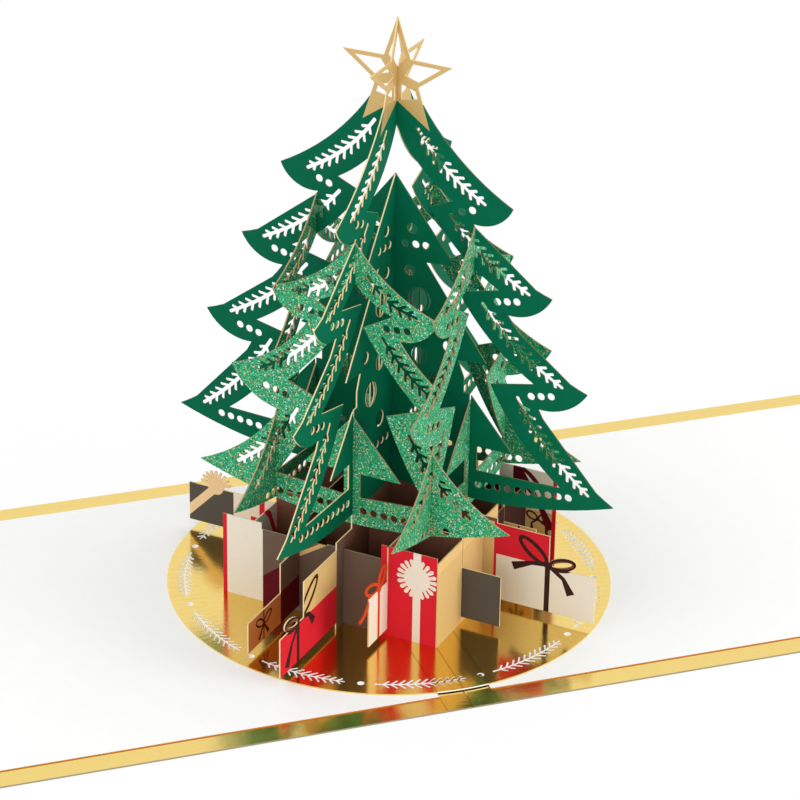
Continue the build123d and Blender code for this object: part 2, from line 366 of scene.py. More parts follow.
class Net:
    """Node tree in the making."""

    def __init__(self, tree):
        self.tree = tree

    def make(self, kind, settings=None, sockets=None):
        """A new node with its settings, then the values or links of its sockets."""
        node = self.tree.nodes.new(kind)
        for key, value in (settings or {}).items():
            if key == "stops":
                for stop in value[2:]:
                    node.color_ramp.elements.new(stop[0])
                for element, (place, colour) in zip(node.color_ramp.elements, value):
                    element.position = place
                    element.color = colour
            else:
                setattr(node, key, value)
        for key, value in (sockets or {}).items():
            target = self.pick(node.inputs, key)
            for item in value if isinstance(value, list) else [value]:
                if isinstance(item, Wire):
                    self.tree.links.new(item.socket, target)
                else:
                    target.default_value = item
        return node

    def node(self, kind, settings=None, sockets=None, output=0):
        """Output of a new node."""
        return Wire(self, self.pick(self.make(kind, settings, sockets).outputs, output))

    def pick(self, sockets, key):
        """The socket in use with that name or place."""
        shown = [socket for socket in sockets if socket.enabled]
        if isinstance(key, int):
            return shown[key]
        return next(socket for socket in shown if socket.name == key)

    def math(self, operation, *values):
        """Math node on values."""
        return self.node("ShaderNodeMath", {"operation": operation}, dict(enumerate(values)))

    def dot(self, vector, direction):
        """Length of a vector along a direction."""
        sockets = {0: vector, 1: tuple(direction)}
        return self.node("ShaderNodeVectorMath", {"operation": "DOT_PRODUCT"}, sockets, "Value")

    def parts(self, vector):
        """The three parts of a vector."""
        node = self.make("ShaderNodeSeparateXYZ", None, {0: vector})
        return [Wire(self, socket) for socket in node.outputs]

    def vector(self, *values):
        """Vector made from three values."""
        return self.node("ShaderNodeCombineXYZ", None, dict(enumerate(values)))


class ShapeNet(Net):
    """Geometry node tree in the making, with named inputs."""

    def __init__(self, name):
        super().__init__(bpy.data.node_groups.new(name, "GeometryNodeTree"))
        self.tree.is_modifier = True
        self.tree.interface.new_socket("Geometry", in_out="OUTPUT", socket_type="NodeSocketGeometry")

    def inputs(self, **kinds):
        """Named inputs of the tree, as wires."""
        for name, kind in kinds.items():
            self.tree.interface.new_socket(label(name), in_out="INPUT", socket_type="NodeSocket" + kind)
        entry = self.tree.nodes.new("NodeGroupInput")
        return [Wire(self, entry.outputs[index]) for index in range(len(kinds))]

    def finish(self, geometry, material):
        """Ends the tree in plain geometry of one material."""
        whole = self.node("GeometryNodeRealizeInstances", None, {"Geometry": geometry})
        painted = self.node("GeometryNodeSetMaterial", None, {"Geometry": whole, "Material": material})
        self.make("NodeGroupOutput", None, {0: painted})
        return self.tree


class PaintNet(Net):
    """Material in the making."""

    def __init__(self, name):
        self.material = bpy.data.materials.new(name)
        self.material.use_nodes = True
        super().__init__(self.material.node_tree)
        self.tree.nodes.clear()
        self.position = self.node("ShaderNodeTexCoord", None, None, "Object")

    def along(self, direction):
        """Distance of a point along a direction, in millimetres."""
        return self.dot(self.position, direction / MM)

    def spread(self, scale, stretch=(1, 1, 1)):
        """Place on the piece, with so many units to a millimetre."""
        sockets = {0: self.position, 1: tuple(scale / MM * part for part in stretch)}
        return self.node("ShaderNodeVectorMath", {"operation": "MULTIPLY"}, sockets)

    def noise(self, scale, detail=2.0, stretch=(1, 1, 1)):
        """Soft random value between 0 and 1, with so many spots to a millimetre."""
        sockets = {"Vector": self.spread(scale, stretch), "Scale": 1.0, "Detail": detail}
        return self.node("ShaderNodeTexNoise", None, sockets)

    def mix(self, share, low, high):
        """Colour between two colours."""
        settings = {"data_type": "RGBA"}
        return self.node("ShaderNodeMix", settings, {"Factor": share, "A": low, "B": high})

    def bump(self, height, strength, depth):
        """Normal of a rough surface, whose depth is in millimetres."""
        sockets = {"Height": height, "Strength": strength, "Distance": depth * MM}
        return self.node("ShaderNodeBump", None, sockets)

    def finish(self, **sockets):
        """Ends the material in one shader."""
        named = {key.replace("_", " "): value for key, value in sockets.items()}
        shader = self.node("ShaderNodeBsdfPrincipled", None, named)
        self.make("ShaderNodeOutputMaterial", None, {"Surface": shader})
        return self.material


class Print:
    """Print on one sheet: u runs along it and z up from the disc, both in millimetres."""

    def __init__(self, net, along):
        self.net = net
        self.inks = inks()
        self.u = net.along(along)
        self.z = net.along(UP) - DISC_TOP / MM
        self.colour = self.inks["cream"]
        self.edge = self.inks["edge"]

    def lay(self, mask, ink):
        """Puts an ink, or a colour of its own, on top where the mask is 1."""
        colour = self.inks[ink] if isinstance(ink, str) else ink
        self.colour = self.net.mix(mask, self.colour, colour)

    def patch(self, ink, *box):
        """Puts an ink on an upright rectangle."""
        self.lay(self.field(*box), ink)

    def field(self, left, right, low=-1.0, high=200.0):
        """Mask of an upright rectangle."""
        across = (self.u > min(left, right)) & (self.u < max(left, right))
        return across & ((self.z > low) & (self.z < high))

    def spot(self, centre, radius):
        """Mask of a round spot."""
        return self.reach(centre) < radius

    def reach(self, centre):
        """Distance from a point."""
        return ((self.u - centre[0]) ** 2 + (self.z - centre[1]) ** 2) ** 0.5

    def turned(self, start, end):
        """Places along and across the line from one point to another, from its middle."""
        length = math.dist(start, end)
        cosine = (end[0] - start[0]) / length
        sine = (end[1] - start[1]) / length
        u = self.u - (start[0] + end[0]) / 2
        z = self.z - (start[1] + end[1]) / 2
        return u * cosine + z * sine, z * cosine - u * sine, length

    def stroke(self, start, end, width, flare=0.0):
        """Mask of a straight ribbon that may widen to its end."""
        along, across, length = self.turned(start, end)
        half = width / 2 + (along / length + 0.5) * flare
        return (abs(along) < length / 2) & (abs(across) < half)

    def loop(self, start, end, width, band):
        """Mask of a ribbon's loop, drawn as an oval ring."""
        along, across, length = self.turned(start, end)
        outer = (along / (length / 2)) ** 2 + (across / (width / 2)) ** 2 < 1
        inner = (along / (length / 2 - band)) ** 2 + (across / (width / 2 - band)) ** 2 < 1
        return outer & (1 - inner)

    def ribbon(self, points, width, ink):
        """Ribbon along a path, which widens a little to its end."""
        for start, end in zip(points, points[1:]):
            flare = width / 2 if end == points[-1] else 0.0
            self.lay(self.stroke(start, end, width, flare), ink)
        for bend in points[1:-1]:
            self.lay(self.spot(bend, width / 2), ink)

    def bow(self, knot, loops, tails, ink, band, width):
        """Bow: loops that start at its knot, and tails that go on from there along their points."""
        for end in loops:
            self.lay(self.loop(knot, end, width, band), ink)
        for points in tails:
            self.ribbon((knot, *points), band, ink)
        self.lay(self.spot(knot, band), ink)

    def rosette(self, centre, radius, petals, ink):
        """Round bow of rounded petals with gaps between them."""
        turn = self.net.math("ARCTAN2", self.z - centre[1], self.u - centre[0])
        wave = abs(self.net.math("COSINE", turn * (petals / 2)))
        out = self.reach(centre)
        petal = (out < radius * (ROSE_SIDE + (1 - ROSE_SIDE) * wave)) & (wave > ROSE_GAP)
        self.lay(petal | (out < radius * ROSE_ROOT), ink)


def label(name):
    """Label of a size that is named in code."""
    return name.replace("_", " ").capitalize()


def linear(colour):
    """A seen colour as the light that it stands for."""
    light = [part / 12.92 if part < 0.04045 else ((part + 0.055) / 1.055) ** 2.4 for part in colour]
    return (*light, 1.0)


def inks():
    """The card's colours, by name, as light."""
    colours = bpy.context.scene.card_colours
    return {name: linear(getattr(colours, name)) for name in CardColours.__annotations__}


def shaded(colour, *shares, lift=0.0):
    """A colour made darker or lighter, by one share or by one for each of its parts."""
    shares = shares if len(shares) > 1 else shares * 3
    return (*(min(part * share + lift, 1.0) for part, share in zip(colour, shares)), 1.0)


def runs_right(node):
    """Whether an upright sheet runs from the back left to the front right."""
    return node.endswith(("left_right", "front_left", "back_right"))


def sheet_run(node):
    """Direction along an upright sheet."""
    return RIGHT if runs_right(node) else FRONT


def sheet_place(node):
    """Turns a sheet's own plane, X along it and Y up from the disc, to its place on the card."""
    along = sheet_run(node)
    facing = along.cross(UP)
    low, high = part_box(node)
    place = Matrix((along, UP, facing)).transposed().to_4x4()
    place.translation = facing * facing.dot((low + high) / 2) + UP * DISC_TOP
    return place


def disc_place():
    """Turns the disc's own plane to its place on the card."""
    low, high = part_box("base_disc")
    return Matrix.Translation(UP * (low.z + high.z) / 2)


def node_thickness(node, place):
    """Thickness of a flat solid, across its own plane."""
    inverse = place.inverted()
    heights = [(inverse @ vertex.co).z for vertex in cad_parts[node].data.vertices]
    return max(heights) - min(heights)


def rim_loops(node, place):
    """Closed edges of a flat solid's broad face, in its own plane."""
    level = 0.9
    solid = bmesh.new()
    solid.from_mesh(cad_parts[node].data)
    solid.transform(place.inverted())
    bmesh.ops.remove_doubles(solid, verts=solid.verts, dist=MERGE)
    solid.normal_update()
    following = {}
    for face in solid.faces:
        if face.normal.z < level:
            continue
        for corner in face.loops:
            others = [other for other in corner.edge.link_faces if other is not face]
            if all(other.normal.z < level for other in others):
                following[corner.vert] = corner.link_loop_next.vert
    loops = []
    while following:
        start, vertex = following.popitem()
        loop = [start.co.xy.copy()]
        while vertex is not start:
            loop.append(vertex.co.xy.copy())
            vertex = following.pop(vertex)
        loops.append(loop)
    solid.free()
    return loops


def without_twigs(loops, paths):
    """Loops of a sheet as they were before its plain twigs were cut, with the slots that cross them."""
    kept = []
    for loop in loops:
        points = []
        for point in loop:
            in_slot = abs(abs(point.x) - GLITTER_OFFSET * MM) < SLOT_REACH * MM
            if in_slot or path_distance(point, paths) > PLAIN_TWIG_REACH * MM:
                points.append(point)
        if len(points) > 2:
            kept.append(points)
    return kept


def path_distance(point, paths):
    """Distance from a point to the nearest of some paths."""
    nearest = math.inf
    for path in paths:
        for start, end in zip(path, path[1:]):
            run = end - start
            share = min(max((point - start).dot(run) / run.length_squared, 0), 1)
            nearest = min(nearest, (point - start - run * share).length)
    return nearest


def twig_paths(twigs):
    """Paths of a tree's twigs, shallow arcs on both sides of its axis, in metres."""
    paths = []
    for start, end in twigs:
        first = Vector(start)
        run = Vector(end) - first
        side = Vector((-run.y, run.x)).normalized()
        path = []
        for step in range(ARC_STEPS + 1):
            share = step / ARC_STEPS
            path.append((first + run * share + side * TWIG_SAGITTA * 4 * share * (1 - share)) * MM)
        paths += [path, [Vector((-point.x, point.y)) for point in path]]
    return paths


def dot_places(rows):
    """Places of a tree's dots on both sides of its axis, in metres."""
    places = []
    for start, end, count in rows:
        for index in range(count):
            place = Vector(start).lerp(Vector(end), index / (count - 1)) * MM
            places += [place, Vector((-place.x, place.y))]
    return places


def circle(centre, radius):
    """Loop round a ball's cut-out, in metres."""
    points = []
    for side in range(DOT_SIDES):
        turn = math.tau * side / DOT_SIDES
        points.append(Vector((centre[0] + radius * math.cos(turn), centre[1] + radius * math.sin(turn))) * MM)
    return points


def bauble_slits(centre, radius):
    """Loops of the slits between a bauble's ribs, which curve as lines on a globe do, in metres."""
    loops = []
    for slit in range(BAUBLE_SLITS):
        sides = []
        for number, inset in ((slit, BAUBLE_RIB / 2), (slit + 1, -BAUBLE_RIB / 2)):
            bulge = -math.cos(math.pi * number / BAUBLE_SLITS)
            side = []
            for step in range(BAUBLE_STEPS + 1):
                turn = math.pi * (BAUBLE_POLE + (1 - 2 * BAUBLE_POLE) * step / BAUBLE_STEPS)
                out = radius * bulge * math.sin(turn) + inset * math.sin(turn)
                side.append(Vector((centre[0] + out, centre[1] - radius * math.cos(turn))) * MM)
            sides.append(side)
        loops.append([*sides[0], *reversed(sides[1])])
    return loops


def with_petals(loops):
    """Loops of a sheet whose round bow is cut into petals, in metres."""
    middle = Vector(ROSETTE) * MM
    radius = ROSETTE_RADIUS * MM
    kept = []
    for loop in loops:
        on_rim = [abs((point - middle).length - radius) < NEAR for point in loop]
        if any(on_rim):
            first = next(index for index, found in enumerate(on_rim) if found and not on_rim[index - 1])
            ahead = loop[first:] + loop[:first]
            foot = ahead[0].y
            points = [Vector((middle.x + radius * PETAL_ROOT, foot))]
            for petal in range(ROSETTE_PETALS):
                for share, reach in PETAL_POINTS:
                    turn = math.radians(ROSETTE_START + ROSETTE_SWEEP * (petal + share) / ROSETTE_PETALS)
                    points.append(middle + Vector((math.cos(turn), math.sin(turn))) * radius * reach)
            points.append(Vector((middle.x - radius * PETAL_ROOT, foot)))
            loop = points + ahead[sum(on_rim):]
        kept.append(loop)
    return kept


def oval(start, end, width, first, last, steps=14):
    """Points round an oval that lies between two points, from one turn to another, in metres."""
    half = (Vector(end) - Vector(start)) / 2
    side = Vector((-half.y, half.x)).normalized() * width / 2
    middle = Vector(start) + half
    turns = [math.radians(first + (last - first) * step / steps) for step in range(steps + 1)]
    return [(middle + half * math.cos(turn) + side * math.sin(turn)) * MM for turn in turns]


def with_bow(loops):
    """Loops of a strip whose gift carries an open bow, in metres."""
    corner = Vector(FLAG_CORNER) * MM
    front = oval(BOW_KNOT, *BOW_FRONT_LOOP)
    wall = oval(BOW_KNOT, *BOW_WALL_LOOP)
    tail = [Vector(place) * MM for place in BOW_TAIL]
    kept = []
    for loop in loops:
        for index, point in enumerate(loop):
            if (point - corner).length < NEAR:
                loop = [*loop[:index], *tail, point, *front, *wall, *loop[index + 1:]]
                break
        kept.append(loop)
    for end, width in (BOW_FRONT_LOOP[:2], BOW_WALL_LOOP[:2]):
        inset = (Vector(end) - Vector(BOW_KNOT)).normalized() * BOW_BAND
        hole = oval(Vector(BOW_KNOT) + inset, Vector(end) - inset, width - 2 * BOW_BAND, 0, 360)
        kept.append(hole[:-1])
    return kept


def wire_object(name, paths, closed):
    """Object of bare edges along paths."""
    points = []
    edges = []
    for path in paths:
        first = len(points)
        points += [(point[0], point[1], 0.0) for point in path]
        edges += [(index, index + 1) for index in range(first, len(points) - 1)]
        if closed:
            edges.append((len(points) - 1, first))
    mesh = bpy.data.meshes.new(name)
    mesh.from_pydata(points, edges, [])
    return link(name, mesh)


def link(name, data):
    """Object of a mesh, a lamp or a camera, in the scene."""
    item = bpy.data.objects.new(name, data)
    bpy.context.scene.collection.objects.link(item)
    return item


def capsule(net, length, width, depth):
    """Round-ended cutter that lies along X from its near end."""
    sockets = {"Vertices": NEEDLE_SIDES, "Radius": width / 2, "Depth": depth}
    drum = net.node("GeometryNodeMeshCylinder", None, sockets, "Mesh")
    across = net.parts(net.node("GeometryNodeInputPosition"))[0]
    shift = net.vector((length - width) * (across > 0), 0.0, 0.0)
    return net.node("GeometryNodeSetPosition", None, {"Geometry": drum, "Offset": shift})


def object_shape(net, item):
    """Geometry of an object that a tree's input names."""
    return net.node("GeometryNodeObjectInfo", None, {"Object": item}, "Geometry")


def turned_by(net, rotation, turn):
    """Rotation with a further turn about its own axes."""
    sockets = {"Rotation": rotation, "Rotate By": turn}
    return net.node("FunctionNodeRotateRotation", {"rotation_space": "LOCAL"}, sockets)


def die_cut_tree():
    """Tree that fills a sheet's edges, gives it thickness and cuts twigs and dots through it."""
    net = ShapeNet("Die-cut sheet")
    edges, paths, dots, thickness, length, width, pitch, stem, spread, radius, paper = net.inputs(
        geometry="Geometry",
        twig_paths="Object",
        dots="Object",
        thickness="Float",
        needle_length="Float",
        needle_width="Float",
        needle_pitch="Float",
        stem_width="Float",
        needle_spread="Float",
        dot_radius="Float",
        paper="Material",
    )
    outline = net.node("GeometryNodeMeshToCurve", None, {"Mesh": edges})
    face = net.node("GeometryNodeFillCurve", {"mode": "TRIANGLES"}, {"Curve": outline})
    sockets = {"Mesh": face, "Offset": (0, 0, 1), "Offset Scale": thickness, "Individual": False}
    raised = net.node("GeometryNodeExtrudeMesh", {"mode": "FACES"}, sockets, "Mesh")
    under = net.node("GeometryNodeFlipFaces", None, {"Mesh": face})
    closed = net.node("GeometryNodeJoinGeometry", None, {"Geometry": [raised, under]})
    merged = net.node("GeometryNodeMergeByDistance", None, {"Geometry": closed, "Distance": MERGE})
    drop = net.vector(0.0, 0.0, thickness * -0.5)
    sheet = net.node("GeometryNodeSetPosition", None, {"Geometry": merged, "Offset": drop})

    depth = thickness * CUTTER_DEPTH
    lines = net.node("GeometryNodeMeshToCurve", None, {"Mesh": object_shape(net, paths)})
    track = net.node("GeometryNodeResampleCurve", {"mode": "LENGTH"}, {"Curve": lines, "Length": pitch})
    tangent = net.node("GeometryNodeInputTangent")
    heading = net.node("FunctionNodeAlignRotationToVector", {"axis": "X"}, {"Vector": tangent})
    needle = capsule(net, length, width, depth)
    rib = capsule(net, pitch + stem, stem, depth)
    share = net.node("GeometryNodeSplineParameter", None, None, "Factor")
    taper = 1 - (share * 2 - 1) ** 2 * NEEDLE_TAPER - (share < FIRST_NEEDLES) * FIRST_TAPER
    cutters = []
    for shape, turn, size in ((needle, spread, taper), (needle, spread * -1, taper), (rib, 0.0, 1.0)):
        facing = turned_by(net, heading, net.vector(0.0, 0.0, turn))
        scale = net.vector(size, 1.0, 1.0)
        sockets = {"Points": track, "Instance": shape, "Rotation": facing, "Scale": scale}
        cutters.append(net.node("GeometryNodeInstanceOnPoints", None, sockets))
    sockets = {"Vertices": DOT_SIDES, "Radius": radius, "Depth": depth}
    drum = net.node("GeometryNodeMeshCylinder", None, sockets, "Mesh")
    sockets = {"Points": object_shape(net, dots), "Instance": drum}
    cutters.append(net.node("GeometryNodeInstanceOnPoints", None, sockets))
    settings = {"operation": "DIFFERENCE", "solver": "MANIFOLD"}
    cut = net.node("GeometryNodeMeshBoolean", settings, {"Mesh 1": sheet, "Mesh 2": cutters})
    return net.finish(cut, paper)


def glitter_tree():
    """Tree that strews small faceted flakes over both faces of a sheet."""
    net = ShapeNet("Glitter flakes")
    sheet, size, density, seed, foil = net.inputs(
        geometry="Geometry",
        flake_size="Float",
        flake_density="Float",
        flake_seed="Int",
        foil="Material",
    )
    facing = net.parts(net.node("GeometryNodeInputNormal", None, None, "Normal"))[2]
    sockets = {"Mesh": sheet, "Selection": abs(facing) > EDGE_FACING, "Density": density, "Seed": seed}
    strewn = net.make("GeometryNodeDistributePointsOnFaces", None, sockets)
    points, turn = [Wire(net, strewn.outputs[name]) for name in ("Points", "Rotation")]
    least = (-FLAKE_TILT, -FLAKE_TILT, 0.0)
    most = (FLAKE_TILT, FLAKE_TILT, math.tau)
    sockets = {"Min": least, "Max": most, "Seed": seed}
    tilt = net.node("FunctionNodeRandomValue", {"data_type": "FLOAT_VECTOR"}, sockets)
    turn = turned_by(net, turn, tilt)
    grow = net.node("FunctionNodeRandomValue", None, {"Min": FLAKE_LEAST, "Max": 1.0, "Seed": seed})
    scale = net.vector(grow, grow, grow)
    depth = size * FLAKE_HEIGHT
    sockets = {"Vertices": FLAKE_SIDES, "Radius Bottom": size, "Radius Top": 0.0, "Depth": depth}
    flake = net.node("GeometryNodeMeshCone", None, sockets, "Mesh")
    sockets = {"Points": points, "Instance": flake, "Rotation": turn, "Scale": scale}
    flakes = net.node("GeometryNodeInstanceOnPoints", None, sockets)
    tint = net.node("FunctionNodeRandomValue", None, {"Seed": seed + 1})
    sockets = {"Geometry": flakes, "Name": "tint", "Value": tint}
    tinted = net.node("GeometryNodeStoreNamedAttribute", {"domain": "INSTANCE"}, sockets)
    return net.finish(tinted, foil)


def grown(source, tree, values):
    """Mesh that a node tree makes from an object, which is then removed."""
    modifier = source.modifiers.new(tree.name, "NODES")
    modifier.node_group = tree
    for item in tree.interface.items_tree:
        if item.in_out == "INPUT" and item.name in values:
            modifier[item.identifier] = values[item.name]
    bpy.context.view_layer.update()
    evaluated = source.evaluated_get(bpy.context.evaluated_depsgraph_get())
    mesh = bpy.data.meshes.new_from_object(evaluated)
    bpy.data.objects.remove(source)
    return mesh


def cutter_sizes(prefix=""):
    """Sizes of twigs and dots, by the names of a die-cut sheet's inputs."""
    sizes = bpy.context.scene.card_sizes
    return {label(name): getattr(sizes, prefix + name) for name in CUTTER_SIZES}


def die_cut_mesh(node, place, loops, paths, dots, sizes, paper):
    """Mesh of a sheet with its fine cut-outs, in its own plane."""
    wires = wire_object(node + "_edges", loops, True)
    tracks = wire_object(node + "_twigs", paths, False)
    spots = wire_object(node + "_dots", [[dot] for dot in dots], False)
    values = {
        "Twig paths": tracks,
        "Dots": spots,
        "Thickness": node_thickness(node, place),
        "Needle spread": bpy.context.scene.card_sizes.needle_spread,
        "Paper": paper,
        **sizes,
    }
    mesh = grown(wires, die_cut_tree(), values)
    for spare in (tracks, spots):
        bpy.data.objects.remove(spare)
    if not mesh.polygons:
        raise RuntimeError(node + " came out empty")
    return mesh


def joined(sheet, flakes, material):
    """One mesh of a sheet and the flakes on it."""
    both = bmesh.new()
    both.from_mesh(sheet)
    first = len(both.faces)
    both.from_mesh(flakes)
    both.faces.ensure_lookup_table()
    for face in both.faces[first:]:
        face.material_index = 1
    both.to_mesh(sheet)
    both.free()
    sheet.materials.append(material)
    return sheet


def seat(name, mesh, place, node):
    """Makes a piece of a mesh that was made in its own plane, to stand for a solid of the card."""
    mesh.transform(place)
    piece = link(name, mesh)
    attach(piece, "root")
    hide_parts(node)


def paint_node(node, material):
    """Gives a solid of the card its finish."""
    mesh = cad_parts[node].data
    mesh.materials.clear()
    mesh.materials.append(material)


def cut_edge(net, facing):
    """Mask of a sheet's cut edges, which don't face the way its print does."""
    normal = net.node("ShaderNodeNewGeometry", None, None, "True Normal")
    return abs(net.dot(normal, facing)) < EDGE_FACING


def printed_paper(name, along, draw, bare_edge=1.0):
    """Matte printed paper of an upright sheet, whose cut edges show a share of bare paper."""
    net = PaintNet(name)
    canvas = Print(net, along)
    shine = draw(canvas) or {}
    grain = net.noise(scale=3.0, detail=3.0)
    fibre = net.noise(scale=9.0, detail=2.0)
    shade = net.mix(grain * PAPER_MOTTLE, canvas.colour, BLACK)
    edge = cut_edge(net, along.cross(UP)) * bare_edge
    sockets = {
        "Base_Color": net.mix(edge, shade, canvas.edge),
        "Roughness": 0.55,
        "Normal": net.bump(fibre, strength=0.25, depth=0.03),
        "Specular_IOR_Level": 0.06,
        **shine,
    }
    return net.finish(**sockets)


def gold_foil(name):
    """Mirror-like foil on white card, with a fine ripple and scored lines along the spine, both darkened by
    painted shade.
    """
    net = PaintNet(name)
    colour = inks()
    across = net.along(Vector((1, 0, 0)))
    ahead = net.along(Vector((0, 1, 0)))
    spine = SPINE_HALF / MM
    # Painted shade: the scored lines at the middle and at both edges of the spine darken towards the score
    # shade
    scores = abs(across) < SCORE_HALF
    for side in (-spine, spine):
        scores = scores | (abs(across - side) < SCORE_SIDE_HALF)
    ripple = net.noise(scale=0.5, detail=3.0, stretch=(1.0, 2.2, 1.0))
    fine = net.noise(scale=3.5, detail=2.0)
    # Painted shade: the foil's colour darkens towards a deeper gold where the ripple noise is high and along
    # the ring's folds, for the shade of a rippled foil
    foil_shade = shaded(colour["foil"], 0.8, 0.66, 0.42)
    foil = net.mix(scores * 0.5, net.mix(ripple * 0.3, colour["foil"], foil_shade), SCORE_SHADE)

    out = (across ** 2 + ahead ** 2) ** 0.5 - (DISC_RADIUS / MM - RING_INSET)
    turn = net.math("ARCTAN2", ahead, across)
    folds = net.math("SINE", turn * RING_FOLDS) * (abs(out) < RING_INSET)
    foil = net.mix(folds * 0.12, foil, foil_shade)

    cut = cut_edge(net, UP)
    past_disc = RING_INSET * 1.5
    at_spine = (abs(across) < spine) & (out < past_disc)
    white = cut & ((out < RING_INSET / 2) | at_spine)
    # Painted shade: the cover's outer cut edges lose their metal and take a grey-brown, for the edge in shade
    # with its contact shadow
    shaded_rim = cut & (out > past_disc)
    bare = white | shaded_rim
    foil = net.mix(white, foil, colour["white"])
    return net.finish(
        Base_Color=net.mix(shaded_rim, foil, colour["cover_edge"]),
        Metallic=1 - bare,
        Roughness=0.1 + fine * 0.1 + bare * 0.5,
        Normal=net.bump(ripple + fine * 0.12 + folds * 0.1, strength=0.35, depth=0.05),
    )


def white_paper(name):
    """Smooth white paper with a faint fibre, whose cut edges carry a painted reflection of the gold foil, in
    shade.
    """
    net = PaintNet(name)
    colour = inks()
    cloud = net.noise(scale=0.4, detail=4.0)
    fibre = net.noise(scale=5.0, detail=3.0)
    paper = net.mix(cloud * 0.5, colour["white"], shaded(colour["white"], 0.94))
    # Painted reflection and shade: the liners' cut edges take the amber liner edge colour, for the edge
    # mirrored in the gold foil
    return net.finish(
        Base_Color=net.mix(cut_edge(net, UP), paper, colour["liner_edge"]),
        Roughness=0.7,
        Normal=net.bump(fibre, strength=0.2, depth=0.02),
    )


def glitter_paper(name, along):
    """Paper under the glitter: fine grains of changing colour and slope, the lightest with painted glints."""
    net = PaintNet(name)
    colour = inks()
    sockets = {"Vector": net.spread(GRAIN_DENSITY), "Scale": 1.0}
    grains = net.make("ShaderNodeTexVoronoi", None, sockets)
    chance = net.parts(Wire(net, grains.outputs["Color"]))
    # Grains run at random between a dark and a light green: partly their own tone, and the light end, lifted
    # towards white, is painted glints of grains that catch the light
    dark = shaded(colour["glitter"], 0.45)
    light = shaded(colour["glitter"], 2.1, lift=0.03)
    shade = net.mix(chance[0], dark, light)
    for part, start, seen in RARE_GRAINS:
        shade = net.mix(chance[part] > start, shade, linear(seen))
    return net.finish(
        Base_Color=net.mix(cut_edge(net, along.cross(UP)), shade, colour["glitter_edge"]),
        Metallic=0.25,
        Roughness=0.3 + chance[0] * 0.3,
        Normal=net.bump(chance[1], strength=0.8, depth=0.12),
    )


def flake_foil(name):
    """Metal flakes, most of them green, with some in gold and silver."""
    net = PaintNet(name)
    tint = net.node("ShaderNodeAttribute", {"attribute_name": "tint"}, None, "Fac")
    stops = [(place, linear(seen)) for place, seen in FLAKE_TINTS]
    colour = net.node("ShaderNodeValToRGB", {"stops": stops}, {"Fac": tint})
    return net.finish(Base_Color=colour, Metallic=0.85, Roughness=0.22)


def tree_print(gifts, edge):
    """Print of a main sheet: gold star, green tree, brown trunk and the gifts at its ends."""

    def draw(canvas):
        green = canvas.inks["green"]
        grain = canvas.net.noise(scale=0.15, detail=3.0)
        canvas.colour = canvas.net.mix(grain, shaded(green, 0.8), green)
        foot = canvas.z < TREE_FOOT
        canvas.lay(foot, "trunk")
        out = abs(canvas.u)
        fall = (STAR_WAIST[1] - STAR_LEG[1]) / STAR_LEG[0]
        lean = (STAR_LEG[0] - STAR_SHOULDER[0]) / (STAR_SHOULDER[1] - STAR_LEG[1])
        above = canvas.z + out * fall > STAR_WAIST[1]
        inside = out + canvas.z * lean < STAR_SHOULDER[0] + STAR_SHOULDER[1] * lean
        star = above & (inside | (canvas.z > STAR_SHOULDER[1]))
        canvas.lay(star, "star")
        gifts(canvas)
        # Painted shade: outside the star and the trunk, the cut edges take the ink passed as edge, the darker
        # shaded edge on the sheet that faces the front
        canvas.edge = canvas.net.mix(star | foot, canvas.inks[edge], canvas.inks["edge"])
        return {"Metallic": star * 0.45, "Roughness": 0.6 - star * 0.22}

    return draw


def gifts_left_right(canvas):
    """Gifts at the two ends of the sheet that runs from the left to the right."""
    canvas.patch("kraft", 29.6, 33.2, 0.0, 27.0)
    canvas.patch("red", 33.2, 51.0, 0.0, 27.0)
    canvas.patch("cream", 34.0, 65.0, 0.0, 16.7)
    canvas.patch("brown", 49.2, 50.8, 0.0, 17.0)
    tails = (((45.0, 16.6), (39.2, 14.2)), ((55.0, 13.8), (57.4, 9.2)))
    canvas.bow((50.0, 17.2), ((41.0, 24.4), (59.2, 19.4)), tails, "brown", band=1.3, width=5.0)
    canvas.patch("grey", -67.0, -51.5, 0.0, 14.5)
    canvas.patch("cream", -51.5, -29.6, 0.0, 27.0)
    canvas.patch("red", -42.8, -41.0, 0.0, 27.0)
    canvas.lay(canvas.stroke((-68.0, 3.6), (-57.0, 15.2), width=2.6), "peach")
    canvas.patch("peach", -64.0, -51.0, 14.4, 24.0)
    canvas.lay(canvas.spot(ROSETTE, ROSETTE_RADIUS * PETAL_ROOT), "peach")


def gifts_front_back(canvas):
    """Gifts at the two ends of the sheet that runs from the front to the back."""
    canvas.patch("taupe", 29.6, 34.0, 0.0, 27.0)
    canvas.patch("kraft", 34.0, 53.6, 0.0, 27.0)
    canvas.patch("red", 34.0, 68.0, 0.0, 14.2)
    canvas.patch("brown", 56.2, 57.8, 0.0, 14.4)
    tails = (((50.6, 14.0), (47.8, 10.2)), ((60.6, 9.6), (63.6, 3.4)))
    canvas.bow((55.6, 15.0), ((45.4, 24.0), (65.2, 16.2)), tails, "brown", band=1.3, width=5.2)
    canvas.patch("cream", -62.5, -34.0, 0.0, 30.0)
    canvas.patch("kraft", -46.0, -34.0, 0.0, 30.0)
    canvas.patch("burgundy", -55.5, -53.0, 0.0, 30.0)


def strip_print(front, back):
    """Print of a trunk strip, with a gift in front and one in a plain ink at the back."""

    def draw(canvas):
        trunk = canvas.inks["trunk"]
        bark = canvas.net.noise(scale=0.35, detail=4.0, stretch=(1.0, 1.0, 0.25))
        canvas.colour = canvas.net.mix(bark, trunk, shaded(trunk, 1.35))
        front(canvas)
        canvas.lay(canvas.u < -FLAG_START, back)

    return draw


def grey_flag(canvas):
    """Plain dark gift."""
    canvas.lay(canvas.u > FLAG_START, "grey")


